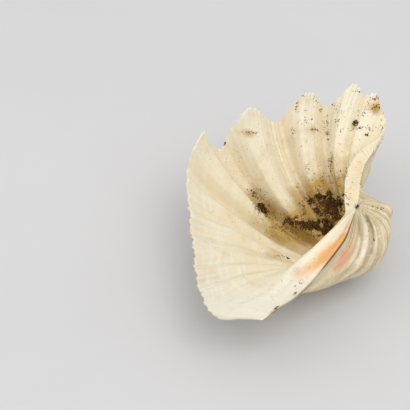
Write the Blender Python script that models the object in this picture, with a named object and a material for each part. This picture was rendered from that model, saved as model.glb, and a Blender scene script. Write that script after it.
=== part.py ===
"""One valve of a giant clam, lying on its back with soil left in the bowl.

Lengths in the tables are millimetres in the shell's own frame: x runs along
the hinge to the front of the shell, y runs from the hinge to the scalloped
margin, z points out of the bowl, and the beak is at the origin. The finished
meshes are in metres, turned to the way the valve comes to rest.
"""

import math
import random

import bmesh
import bpy
import numpy as np
from mathutils import Matrix, Vector
from mathutils.bvhtree import BVHTree

MM = 0.001

# The even outline that the ribs scallop, from the hinge's rear end to the lunule.
OUTLINE = (
    (-104, -0.5), (-113, 9), (-119, 20), (-117, 32), (-107, 46), (-88, 65), (-67, 84),
    (-44, 100), (-18, 106), (8, 99), (34, 85), (56, 70), (73, 54), (82, 40), (80, 29),
    (61, 19), (45, 15.5),
)

# Ribs and channels at the margin: share of the outline, how far each tongue
# reaches past it or falls short, and how far it stands into the bowl.
FOLDS = (
    (0, 0, 0), (0.04, -1.5, 0), (0.08, 1, 0), (0.13, -0.5, 0.5), (0.16, -0.5, -0.5),
    (0.18, 0, 1), (0.207, -1.5, -0.5), (0.235, -0.5, 1.5), (0.27, -3, -1.5), (0.312, 2.5, 3),
    (0.345, -4, -3), (0.37, 7, 4), (0.415, 1, -2), (0.434, 14, 5), (0.453, 18.5, 9),
    (0.471, 16.5, 7.5), (0.495, 0, -1), (0.526, -11, -8), (0.553, 3, 2), (0.572, 13, 8.5),
    (0.597, 11, 8.5), (0.617, 3, 4.5), (0.645, -6, -4), (0.667, -6.5, -7), (0.685, 5, 4),
    (0.697, 10, 8), (0.712, 9.5, 8), (0.727, 6, 5.5), (0.745, 1, -1), (0.765, -3, -5),
    (0.782, 2, 2), (0.793, 8.5, 7.5), (0.807, 9, 7.5), (0.82, 5, 4.5), (0.832, 1.5, 1),
    (0.843, 3, 4.5), (0.86, 3, 4.5), (0.885, -3, -2), (0.93, -2, -2), (0.96, 0, -0.5), (1, 0, 0),
)

# How the shell coils: degrees turned back about the hinge, and its size then.
COIL = ((-18, 1.18), (0, 1), (20, 0.8), (35, 0.7), (54, 0.6), (80, 0.49), (112, 0.37), (142, 0.28),
        (164, 0.18), (178, 0))
REAR_DRIFT = 0.57
DRIFT_FROM_X = -67.0
HINGE_LENGTH = 104.0
REAR_BULGE = 9.0
BEAK_BULGE = 3.5
# The corner beside the beak: how far it is pushed out, its share and its size. Past
# its share the side below the lunule runs straight.
KEEL = (4.4, -6.8, -1.8)
KEEL_SHARE = 0.85
KEEL_SIZE = 0.3
# Ribs on the beak, which sweep towards the hinge as they grow.
BEAK_RIB_HEIGHT = 0.7
BEAK_RIB_PITCH = 0.1175
BEAK_RIB_AT = 0.352
SWEEP = 0.6
SWEEP_SHARE = 0.25

# The hinge plate's outer edge, x then y, from the rear end to the beak.
HINGE_EDGE = ((-125, -1), (-104, -1.5), (-94, -4), (-82, -7.5), (-67, -9.6), (-54, -9.6),
              (-38, -9.2), (-25, -8), (-12, -3.9), (0, 0), (30, 0))

# The lunule's outer edge, from the beak forward.
LUNULE_EDGE = ((0, 0, 0), (0.18, 8, 3.8), (0.45, 20, 10), (0.76, 33, 14.4), (1, 45, 15.5))

# Inner edges of the hinge plate and of the lunule rim, by size of the coil.
PLATE_EDGE = ((0.42, -44, 4.3), (0.53, -55, 6), (0.65, -68, 7.5), (0.75, -80, 8),
              (0.85, -92, 10), (0.93, -104, 15), (1, -117, 17))
RIM_EDGE = ((0.42, 8, 15), (0.55, 16, 19), (0.7, 27, 22.3), (0.85, 40, 22.5), (1, 57, 18.5))
# The edge under the beak that joins those two.
BEAK_EDGE = ((0, -44, 4.3), (0.25, -33, 3.4), (0.5, -18, 2.5), (0.68, -9, 3.2), (0.8, -4.5, 6.5),
             (0.9, 1, 10.5), (1, 8, 15))
BEAK_SIZE = 0.42
# Shares of the outline taken by the plate, by the rim, and by the wall below each.
PLATE_SHARE = 0.065
RIM_SHARE = 0.06
WALL_SHARE = 0.04

# Height across the hinge plate, from its outer edge to its inner edge.
PLATE_SECTION = ((0, 0), (0.12, -1.6), (0.3, -1.3), (0.5, 0), (0.7, 1.3), (0.9, 1.2), (1, 0.2))
PLATE_DEPTH = 3.5
SHELF_HEIGHT = 0.2
RIM_HEIGHT = 1.2
RIM_DEPTH = 3.0

LIP = 1.5
LIP_ROUND = 0.5
# How much thicker than the lip the wall grows, by share of the outline.
WALL = ((0, 2.2), (0.4, 3.5), (0.8, 4.8), (0.9, 3.7), (1, 3.7))
WALL_SIZE = 0.72
RIBLETS = 23
RIBLET_HEIGHT = 0.7

# Size of the coil at each row of the mesh, margin first.
ROWS = (1, 0.965, 0.93, 0.88, 0.82, 0.76, 0.7, 0.64, 0.58, 0.53, 0.49, 0.46, 0.44, 0.42,
        0.4, 0.37, 0.32, 0.25, 0.17, 0.09, 0)
LINES = 104

# The way the valve comes to rest: tipped about x, then about y, in degrees.
REST_TIP = (3.0, -8.0)
# How deep the floor has worn flats into the lowest ribs.
WORN = 4.6

# Soil left in the bowl: share of the outline and coil size at its middle, its
# half widths along x and y, its turn in degrees, and its thickness.
SOIL = {
    "soil_beak_clot": (0.717, 0.59, 11.5, 6.5, 104, 2.6),
    "soil_channel_band": (0.580, 0.58, 13, 5, 108, 2.2),
    "soil_rib_clot": (0.507, 0.69, 5.5, 4, 20, 2.2),
}
SOIL_GAP = 0.5
SOIL_REACH = 1.6
SOIL_RINGS = 6
SOIL_SPOKES = 30
LUMPS = ((3, 0.14), (5, 0.09), (8, 0.05))
HEADROOM = 12.0

SHELL_COLOUR = (0.80, 0.70, 0.50)
SOIL_COLOUR = (0.06, 0.035, 0.018)


def through(knots, q):
    """Values at q on a smooth curve through knots, whose first column is q."""
    table = np.asarray(knots, float)
    place, value = table[:, 0], table[:, 1:]
    slope = np.gradient(value, place, axis=0)
    q = np.clip(q, place[0], place[-1])
    i = np.clip(np.searchsorted(place, q, side="right") - 1, 0, len(place) - 2)
    step = (place[i + 1] - place[i])[..., None]
    w = ((q - place[i]) / step[..., 0])[..., None]
    start = (2 * w**3 - 3 * w**2 + 1) * value[i] + (w**3 - 2 * w**2 + w) * step * slope[i]
    end = (3 * w**2 - 2 * w**3) * value[i + 1] + (w**3 - w**2) * step * slope[i + 1]
    return start + end


def ease(start, end, q):
    """Smooth step from 0 at start to 1 at end."""
    w = np.clip((q - start) / (end - start), 0, 1)
    return w * w * (3 - 2 * w)


def mix(a, b, w):
    """Points a and b mixed by the weight w, one weight for each point."""
    return a * (1 - w[..., None]) + b * w[..., None]


def running_length(points):
    """Length along a row of points, seen from above, up to each point."""
    steps = np.linalg.norm(np.diff(points[:, :2], axis=0), axis=1)
    return np.concatenate([[0], np.cumsum(steps)])


def outline_curve(samples=3000):
    """The outline as closely spaced points, and each one's share of its length."""
    knots = np.array(OUTLINE, float)
    along = running_length(knots)
    fine = through(np.column_stack([along, knots]), np.linspace(0, along[-1], samples))
    share = running_length(fine)
    return fine, share / share[-1]


OUTLINE_POINTS, OUTLINE_SHARES = outline_curve()


def share_at(x, y):
    """Share of the outline's length at the outline point nearest to x, y."""
    gap = np.hypot(OUTLINE_POINTS[:, 0] - x, OUTLINE_POINTS[:, 1] - y)
    return OUTLINE_SHARES[np.argmin(gap)]


LUNULE_SHARE = share_at(80, 32)


def outline(share):
    """Point of the outline, seen from above, at a share of its length."""
    return np.stack([np.interp(share, OUTLINE_SHARES, OUTLINE_POINTS[:, i]) for i in range(2)], -1)


def folds(share):
    """Reach and rise of the ribs at a share of the outline."""
    return np.moveaxis(through(FOLDS, share), -1, 0)


def turn(size):
    """Angle through which the shell has coiled where it was this size."""
    angles = np.linspace(COIL[0][0], COIL[-1][0], 400)
    sizes = np.minimum.accumulate(through(COIL, angles)[:, 0])
    return np.radians(np.interp(size, sizes[::-1], angles[::-1]))


def coil(share, size):
    """The smooth coiled surface, before it is folded into ribs."""
    edge = outline(share)
    cos, sin = np.cos(turn(size)), np.sin(turn(size))
    drift = REAR_DRIFT * size * (1 - size) * ease(0.1, 0.5, size)
    x = size * edge[..., 0] - drift * (edge[..., 0] - DRIFT_FROM_X)
    return np.stack([x, size * edge[..., 1] * cos, -size * edge[..., 1] * sin], -1)


def into_bowl(share, size):
    """Unit direction from the smooth coiled surface into the bowl."""
    small = 0.004
    across = coil(share + small, size) - coil(share - small, size)
    along = coil(share, size + small) - coil(share, size - small)
    inward = np.cross(across, along)
    return inward / np.maximum(np.linalg.norm(inward, axis=-1, keepdims=True), 1e-9)


def beak_ribs(share, size):
    """Height of the ribs on the beak, in millimetres."""
    near_hinge = SWEEP_SHARE * (1 + np.log(np.maximum(share, 0.01) / SWEEP_SHARE))
    swept = np.where(share < SWEEP_SHARE, near_hinge, share) + SWEEP * size
    ribs = np.cos(2 * np.pi * (swept - BEAK_RIB_AT) / BEAK_RIB_PITCH)
    return -BEAK_RIB_HEIGHT * ribs * ease(0, 0.15, size)


def ribbed(share, size, fold=1.0, beak=0.0):
    """The coiled surface with its ribs and tongues."""
    reach, rise = folds(share)
    riblet = RIBLET_HEIGHT * np.cos(2 * np.pi * RIBLETS * share) * ease(0.03, 0.12, share)
    small = 0.01
    pace = np.linalg.norm(coil(share, 1 + 0 * size) - coil(share, 1 - small + 0 * size), axis=-1) / small
    size = size + reach / pace * ease(0.6, 1, size)
    lift = size * (fold * rise + riblet)
    on_beak = beak * ease(0.5, 0.3, size) * ease(0.01, 0.04, share)
    lift = lift * (1 - on_beak) + beak_ribs(share, size) * on_beak
    return coil(share, size) + into_bowl(share, size) * lift[..., None]


def along_hinge(size):
    """1 along most of the hinge, fading to 0 at the beak and at the rear end."""
    return ease(0, 0.15, size) * ease(1, 0.8, size)


def outside(share, size, straight=True):
    """The ribbed outer face, arched along the hinge, with a straight lunule side."""
    points = ribbed(share, size, beak=1.0)
    x, y, z = points[..., 0], points[..., 1], points[..., 2]
    near_hinge = np.exp(-(np.maximum(y - 4, 0) / 18) ** 2)
    arch = through(HINGE_EDGE, x)[..., 0] * (1 - ease(-22, -48, z))
    rear = np.sin(np.pi * np.clip(-x / HINGE_LENGTH, 0, 1) ** 1.9)
    bulge = REAR_BULGE * rear * ease(0, -16, z) * (1 - ease(-22, -45, z))
    points[..., 1] = y + (arch - bulge) * near_hinge
    beak = BEAK_BULGE * ease(-2, -16, y) * np.exp(-((x - 4) / 14) ** 2) * (1 - ease(-20, -40, z))
    points[..., 0] = x + beak
    points[..., 1] -= beak
    points[..., 2] -= PLATE_DEPTH * ease(0, 0.03, share) * along_hinge(size) * near_hinge
    keel = np.exp(-((share - KEEL_SHARE) / 0.075) ** 2 - ((size - KEEL_SIZE) / 0.12) ** 2)
    points += keel[..., None] * KEEL
    lunule = through(LUNULE_EDGE, size)
    lunule = np.concatenate([lunule, 0 * lunule[..., :1]], -1)
    at_lunule = ease(LUNULE_SHARE, 1, share) ** 1.5
    points = mix(points, lunule, at_lunule)
    if straight and np.any(share > KEEL_SHARE):
        corner = outside(0 * share + KEEL_SHARE, size, straight=False)
        along = np.clip((share - KEEL_SHARE) / (1 - KEEL_SHARE), 0, 1)
        points = mix(points, mix(corner, lunule, along), ease(0.72, 0.45, size) * (along > 0))
    points[..., 2] -= RIM_DEPTH * at_lunule * ease(0, 0.025, 1 - share) * ease(0, 0.1, size)
    return points


def bowl(share, size):
    """The inner face of the bowl: the coiled surface moved in by the wall."""
    thick = through(WALL, share)[..., 0] * ease(1, WALL_SIZE, size) * ease(0.3, 0.6, size)
    return ribbed(share, size, 1 - 0.25 * (1 - size)) + into_bowl(share, size) * (LIP + thick)[..., None]


def flat(edge_points, height):
    """Points from above with a height added."""
    return np.concatenate([edge_points, np.broadcast_to(height, edge_points.shape[:-1])[..., None]], -1)


def plate(share, size):
    """The top of the hinge plate, of the shelf under the beak and of the lunule rim."""
    outer = outside(0 * share, size)
    shrink = np.minimum(size / BEAK_SIZE, 1)
    held = np.maximum(size, BEAK_SIZE)
    inner = flat(through(PLATE_EDGE, held) * shrink[..., None], 0)
    across = np.clip(share / PLATE_SHARE, 0, 1)
    hinge = mix(outer, inner, across)
    hinge[..., 2] += through(PLATE_SECTION, across)[..., 0] * along_hinge(size)
    hinge[..., 2] += LIP * ease(0, 0.4, across) * ease(0.8, 1, size)
    middle = np.clip((share - PLATE_SHARE) / (1 - PLATE_SHARE - RIM_SHARE), 0, 1)
    shelf_height = SHELF_HEIGHT + (RIM_HEIGHT - SHELF_HEIGHT) * ease(0.8, 1, middle)
    shelf = flat(through(BEAK_EDGE, middle) * shrink[..., None], shelf_height * shrink)
    rim_in = flat(through(RIM_EDGE, held) * shrink[..., None], RIM_HEIGHT * shrink)
    rim = mix(outside(0 * share + 1, size), rim_in, np.clip((1 - share) / RIM_SHARE, 0, 1) ** 0.6)
    reach = WALL_SHARE * (size > BEAK_SIZE)
    top = np.where((share < PLATE_SHARE + reach)[..., None], hinge, shelf)
    return np.where((share > 1 - RIM_SHARE - reach)[..., None], rim, top)


def inside(share, size):
    """The bowl, where the hinge plate, the beak and the lunule rim leave it open."""
    past_plate = ease(PLATE_SHARE, PLATE_SHARE + WALL_SHARE, share)
    below_beak = ease(BEAK_SIZE - 0.01, BEAK_SIZE + 0.09, size)
    before_rim = 1 - ease(1 - RIM_SHARE - WALL_SHARE, 1 - RIM_SHARE, share)
    return mix(plate(share, size), bowl(share, size), past_plate * below_beak * before_rim)


def line_shares():
    """Shares of the margin where the mesh has its lines, closer at the plate's edges."""
    plate_lines = np.linspace(0, PLATE_SHARE, 7)
    plate_wall = PLATE_SHARE + WALL_SHARE * np.array([0.35, 0.7, 1])
    rim_wall = 1 - RIM_SHARE - WALL_SHARE * np.array([1, 0.65, 0.3])
    rim_lines = 1 - RIM_SHARE * np.array([1, 0.75, 0.4, 0.12, 0])
    others = np.concatenate([plate_lines, plate_wall, rim_wall, rim_lines])
    ribs = np.linspace(plate_wall[-1], rim_wall[0], LINES - len(others) + 2)[1:-1]
    return np.sort(np.concatenate([others, ribs]))


def rest_matrix():
    """The turn from the shell's own frame to the way the valve rests."""
    tip_x, tip_y = (math.radians(angle) for angle in REST_TIP)
    return Matrix.Rotation(tip_y, 4, "Y") @ Matrix.Rotation(tip_x, 4, "X")


def rest_on_floor(bm):
    """Turns the valve to rest, wears its lowest ribs flat and centres it on the floor."""
    bmesh.ops.transform(bm, matrix=rest_matrix(), verts=bm.verts)
    floor = min(vert.co.z for vert in bm.verts) + WORN * MM
    for vert in bm.verts:
        vert.co.z = max(vert.co.z, floor)
    across = [[vert.co[axis] for vert in bm.verts] for axis in range(2)]
    middle = [(min(values) + max(values)) / 2 for values in across]
    centre = Matrix.Translation((-middle[0], -middle[1], -floor))
    bmesh.ops.transform(bm, matrix=centre, verts=bm.verts)
    return centre @ rest_matrix()


def new_object(name, bm, colour, roughness):
    """A finished object with its own plain material."""
    bmesh.ops.recalc_face_normals(bm, faces=bm.faces)
    mesh = bpy.data.meshes.new(name)
    bm.to_mesh(mesh)
    bm.free()
    mesh.shade_smooth()
    mesh.set_sharp_from_angle(angle=math.radians(50))
    obj = bpy.data.objects.new(name, mesh)
    bpy.context.collection.objects.link(obj)
    material = bpy.data.materials.new(name)
    material.use_nodes = True
    shader = material.node_tree.nodes["Principled BSDF"]
    shader.inputs["Base Color"].default_value = (*colour, 1)
    shader.inputs["Roughness"].default_value = roughness
    shader.inputs["Metallic"].default_value = 0
    obj.data.materials.append(material)
    return obj


def grid_faces(bm, grid):
    """Quads over a grid of vertices."""
    for row, following in zip(grid, grid[1:]):
        for a, b, c, d in zip(row, row[1:], following[1:], following):
            bm.faces.new((a, b, c, d))


def make_valve():
    """The valve as one closed solid at rest, and the matrix that puts it there."""
    share, size = np.meshgrid(line_shares(), ROWS, indexing="ij")
    outer, inner = outside(share, size), inside(share, size)
    edge = (outer[:, :1] + inner[:, :1]) / 2
    edge[..., :2] *= 1 + LIP_ROUND / np.linalg.norm(edge[..., :2], axis=-1, keepdims=True)
    bm = bmesh.new()
    surfaces = [[[bm.verts.new(point * MM) for point in line] for line in points]
                for points in (outer, edge, inner)]
    outer_rows, edge_rows, inner_rows = surfaces
    grid_faces(bm, outer_rows)
    grid_faces(bm, inner_rows)
    lip = [(o[0], e[0], i[0]) for o, e, i in zip(outer_rows, edge_rows, inner_rows)]
    grid_faces(bm, lip)
    bmesh.ops.remove_doubles(bm, verts=bm.verts, dist=0.02 * MM)
    placement = rest_on_floor(bm)
    return bm, placement


def highest_near(surface, above):
    """Height of the highest spot of a surface below a point and close around it."""
    around = [Vector((0, 0, 0))]
    for step in range(8):
        angle = math.pi * step / 4
        around.append(Vector((math.cos(angle), math.sin(angle), 0)) * SOIL_REACH * MM)
    return max(surface.ray_cast(above + offset, Vector((0, 0, -1)))[0].z for offset in around)


def make_soil(surface, placement, share, size, half_x, half_y, turned, thickness, seed):
    """A low clot of soil that lies on the bowl with a small gap under it."""
    rng = random.Random(seed)
    lumps = [(count, depth, rng.uniform(0, 2 * math.pi)) for count, depth in LUMPS]
    middle = placement @ Vector(bowl(np.array(share), np.array(size)) * MM)
    bm = bmesh.new()

    def pair(ring, spoke):
        """The clot's lower and upper vertex at a ring and spoke."""
        angle = 2 * math.pi * spoke / SOIL_SPOKES
        out = ring / SOIL_RINGS
        ragged = 1 + sum(depth * math.sin(count * angle + phase) for count, depth, phase in lumps)
        offset = Vector((half_x * math.cos(angle), half_y * math.sin(angle), 0)) * out * ragged * MM
        offset.rotate(Matrix.Rotation(math.radians(turned), 4, "Z"))
        above = middle + offset + Vector((0, 0, HEADROOM * MM))
        low = Vector((above.x, above.y, highest_near(surface, above) + SOIL_GAP * MM))
        crumbly = rng.uniform(0.8, 1.2)
        high = low + Vector((0, 0, (0.25 + (thickness - 0.25) * math.sqrt(1 - out**2) * crumbly) * MM))
        return bm.verts.new(low), bm.verts.new(high)

    hub = pair(0, 0)
    rings = [[pair(ring, spoke) for spoke in range(SOIL_SPOKES)] for ring in range(1, SOIL_RINGS + 1)]
    for spoke in range(SOIL_SPOKES):
        after = (spoke + 1) % SOIL_SPOKES
        for side in range(2):
            bm.faces.new((hub[side], rings[0][spoke][side], rings[0][after][side]))
            for inner, outer in zip(rings, rings[1:]):
                corners = inner[spoke], outer[spoke], outer[after], inner[after]
                bm.faces.new([corner[side] for corner in corners])
        rim = rings[-1]
        bm.faces.new((rim[spoke][0], rim[spoke][1], rim[after][1], rim[after][0]))
    return bm


def main():
    for obj in list(bpy.data.objects):
        bpy.data.objects.remove(obj)
    valve, placement = make_valve()
    surface = BVHTree.FromBMesh(valve)
    for seed, (name, clot) in enumerate(SOIL.items()):
        new_object(name, make_soil(surface, placement, *clot, seed), SOIL_COLOUR, 0.9)
    new_object("valve", valve, SHELL_COLOUR, 0.55)


main()
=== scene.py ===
"""Looks of one giant clam valve at rest on its back, with soil left in its bowl.

Tables are in millimetres in the shell's own frame, as in the solid model: x runs
along the hinge to the front, y from the hinge to the scalloped margin, z out of the
bowl, and the beak is at the origin. REST_TIP and BEAK_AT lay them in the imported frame.
"""

import math

import bmesh
import bpy
import numpy as np
from mathutils import Matrix, Vector, noise
from mathutils.bvhtree import BVHTree


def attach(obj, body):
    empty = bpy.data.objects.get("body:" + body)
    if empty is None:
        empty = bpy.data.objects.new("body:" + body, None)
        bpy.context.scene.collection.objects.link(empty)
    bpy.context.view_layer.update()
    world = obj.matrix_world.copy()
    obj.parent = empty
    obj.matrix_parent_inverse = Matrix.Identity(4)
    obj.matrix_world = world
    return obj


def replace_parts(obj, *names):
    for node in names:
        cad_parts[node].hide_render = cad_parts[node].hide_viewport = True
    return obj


bl_info = {
    "name": "Giant clam valve",
    "version": (1, 0, 0),
    "blender": (4, 5, 0),
    "location": "3D View > Sidebar > Clam",
    "description": "Builds a ribbed clam valve with soil in its bowl",
    "category": "Object",
}

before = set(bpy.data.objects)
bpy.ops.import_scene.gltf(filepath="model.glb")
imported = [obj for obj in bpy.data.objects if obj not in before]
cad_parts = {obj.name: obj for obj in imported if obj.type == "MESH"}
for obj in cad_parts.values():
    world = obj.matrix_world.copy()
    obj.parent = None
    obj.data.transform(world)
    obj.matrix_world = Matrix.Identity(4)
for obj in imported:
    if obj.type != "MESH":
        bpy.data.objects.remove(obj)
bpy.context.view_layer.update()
MM = 0.001

# The even outline that the ribs scallop, from the hinge's rear end to the lunule.
OUTLINE = (
    (-104, -0.5), (-113, 9), (-119, 20), (-117, 32), (-107, 46), (-88, 65), (-67, 84),
    (-44, 100), (-18, 106), (8, 99), (34, 85), (56, 70), (73, 54), (82, 40), (80, 29),
    (61, 19), (45, 15.5),
)

# Ribs and channels at the margin: share of the outline, how far each tongue
# reaches past it or falls short, and how far it stands into the bowl.
FOLDS = (
    (0, 0, 0), (0.04, -1.5, 0), (0.08, 1, 0), (0.13, -0.5, 0.5), (0.16, -0.5, -0.5),
    (0.18, 0, 1), (0.207, -1.5, -0.5), (0.235, -0.5, 1.5), (0.27, -3, -1.5), (0.312, 2.5, 3),
    (0.345, -4, -3), (0.37, 7, 4), (0.415, 1, -2), (0.434, 14, 5), (0.453, 18.5, 9),
    (0.471, 16.5, 7.5), (0.495, 0, -1), (0.526, -11, -8), (0.553, 3, 2), (0.572, 13, 8.5),
    (0.597, 11, 8.5), (0.617, 3, 4.5), (0.645, -6, -4), (0.667, -6.5, -7), (0.685, 5, 4),
    (0.697, 10, 8), (0.712, 9.5, 8), (0.727, 6, 5.5), (0.745, 1, -1), (0.765, -3, -5),
    (0.782, 2, 2), (0.793, 8.5, 7.5), (0.807, 9, 7.5), (0.82, 5, 4.5), (0.832, 1.5, 1),
    (0.843, 3, 4.5), (0.86, 3, 4.5), (0.885, -3, -2), (0.93, -2, -2), (0.96, 0, -0.5), (1, 0, 0),
)

# How the shell coils: degrees turned back about the hinge, and its size then.
COIL = ((-18, 1.18), (0, 1), (20, 0.8), (35, 0.7), (54, 0.6), (80, 0.49), (112, 0.37), (142, 0.28),
        (164, 0.18), (178, 0))
REAR_DRIFT = 0.57
DRIFT_FROM_X = -67.0
HINGE_LENGTH = 104.0
REAR_BULGE = 9.0
BEAK_BULGE = 3.5
# The corner beside the beak: how far it is pushed out, its share and its size, and how
# far it spreads in each. Past its share the side below the lunule runs straight.
KEEL = (4.4, -6.8, -1.8)
KEEL_SHARE = 0.85
KEEL_SIZE = 0.3
KEEL_SHARE_WIDTH = 0.075
KEEL_SIZE_WIDTH = 0.12
# Ribs on the beak, which sweep towards the hinge as they grow.
BEAK_RIB_HEIGHT = 0.7
BEAK_RIB_PITCH = 0.1175
BEAK_RIB_AT = 0.352
# Finer ribs to each of them, and the height of these against theirs.
BEAK_FINE_RIBS = 2.6
BEAK_FINE_HEIGHT = 0.25
SWEEP = 0.6
SWEEP_SHARE = 0.25

# The hinge plate's outer edge, x then y, from the rear end to the beak.
HINGE_EDGE = ((-125, -1), (-104, -1.5), (-94, -4), (-82, -7.5), (-67, -9.6), (-54, -9.6),
              (-38, -9.2), (-25, -8), (-12, -3.9), (0, 0), (30, 0))

# The lunule's outer edge, from the beak forward.
LUNULE_EDGE = ((0, 0, 0), (0.18, 8, 3.8), (0.45, 20, 10), (0.76, 33, 14.4), (1, 45, 15.5))

# Inner edges of the hinge plate and of the lunule rim, by size of the coil.
PLATE_EDGE = ((0.42, -44, 4.3), (0.53, -55, 6), (0.65, -68, 7.5), (0.75, -80, 8),
              (0.85, -92, 10), (0.93, -104, 15), (1, -117, 17))
RIM_EDGE = ((0.42, 8, 15), (0.55, 16, 19), (0.7, 27, 22.3), (0.85, 40, 22.5), (1, 57, 18.5))
# The edge under the beak that joins those two.
BEAK_EDGE = ((0, -44, 4.3), (0.25, -33, 3.4), (0.5, -18, 2.5), (0.68, -9, 3.2), (0.8, -4.5, 6.5),
             (0.9, 1, 10.5), (1, 8, 15))
BEAK_SIZE = 0.42
# Shares of the outline taken by the plate, by the rim, and by the wall below each.
PLATE_SHARE = 0.065
RIM_SHARE = 0.06
WALL_SHARE = 0.04

# Height across the hinge plate, from its outer edge to its inner edge.
PLATE_SECTION = ((0, 0), (0.12, -1.6), (0.3, -1.3), (0.5, 0), (0.7, 1.3), (0.9, 1.2), (1, 0.2))
PLATE_DEPTH = 3.5
# Its furrows: radians across it and along it, and their height.
FURROWS_ACROSS = 17
FURROWS_ALONG = 3
FURROW_HEIGHT = 0.35
SHELF_HEIGHT = 0.2
RIM_HEIGHT = 1.2
RIM_DEPTH = 3.0

LIP = 1.5
LIP_ROUND = 0.5
# How much thicker than the lip the wall grows, by share of the outline.
WALL = ((0, 2.2), (0.4, 3.5), (0.8, 4.8), (0.9, 3.7), (1, 3.7))
WALL_SIZE = 0.72
RIBLETS = 23
RIBLET_HEIGHT = 0.7
# For the shade of ribs and channels: the shares of the outline beside a spot that it is
# measured against, and the height in millimetres that counts in full.
AROUND = (-0.045, -0.025, 0.025, 0.045)
FULL_RELIEF = 4.5

# Lines along the shell and rows across it: how many in each stretch.
PLATE_LINES = 20
WALL_LINES = 7
RIB_LINES = 420
RIM_LINES = 16
ROWS = 104
LIP_ROWS = 5
# Above 1, the rows crowd towards the margin.
ROW_CROWDING = 1.15
WELD = 0.02

# The way the valve rests: tipped about x, then y, in degrees, with its beak here
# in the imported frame, in metres.
REST_TIP = (3.0, -8.0)
BEAK_AT = (0.01876, -0.03991, 0.05294)

# Where the photograph shows soil, in its pixels: the middle x and y, half length and
# half width, the turn of the long axis in degrees, how many grains, how high they
# are heaped in millimetres, and the smallest and largest grain across.
CLOTS = {
    "soil_beak_clot": (
        (326, 203, 19, 11, -6, 2600, 2.2, 0.5, 1.4), (326, 206, 27, 18, 0, 1700, 0.3, 0.25, 0.8),
        (333, 216, 9, 7, 40, 700, 1.4, 0.4, 1.2),
    ),
    "soil_channel_band": (
        (311, 227, 23, 5, 12, 1700, 1.8, 0.5, 1.3), (326, 229, 12, 9, 30, 1900, 1.8, 0.5, 1.3),
        (300, 226, 30, 13, 10, 1500, 0.3, 0.25, 0.8), (290, 221, 10, 4, -10, 420, 1.0, 0.4, 1.2),
    ),
    "soil_rib_clot": (
        (264, 208, 7, 6, 30, 620, 1.8, 0.45, 1.3), (263, 208, 14, 8, 40, 420, 0.3, 0.25, 0.8),
    ),
}
# No clot lies higher than this above the floor, in metres: the hinge plate does.
CLOT_TOP = 0.043
# How soil breaks into lumps: two noises by the pixel, the finer one's weight, and how
# much of a patch is kept in its middle, falling to its edge.
LUMP_SCALES = (0.21, 0.6)
LUMP_SEEDS = (3.7, 9.1)
FINE_LUMPS = 0.6
KEPT_MIDDLE = 0.62
KEPT_FALL = 0.75
# How grains thin out from a patch's middle, and how far some stray past its edge.
PATCH_FALL = 0.6
PATCH_STRAY = 0.16
# How unevenly a crumb's corners and its three widths are drawn, and how much of its
# width its middle stands above the valve.
CRUMB_CORNERS = (0.72, 1.2)
CRUMB_WIDTHS = (0.55, 1.1)
CRUMB_LIFT = 0.2
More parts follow.
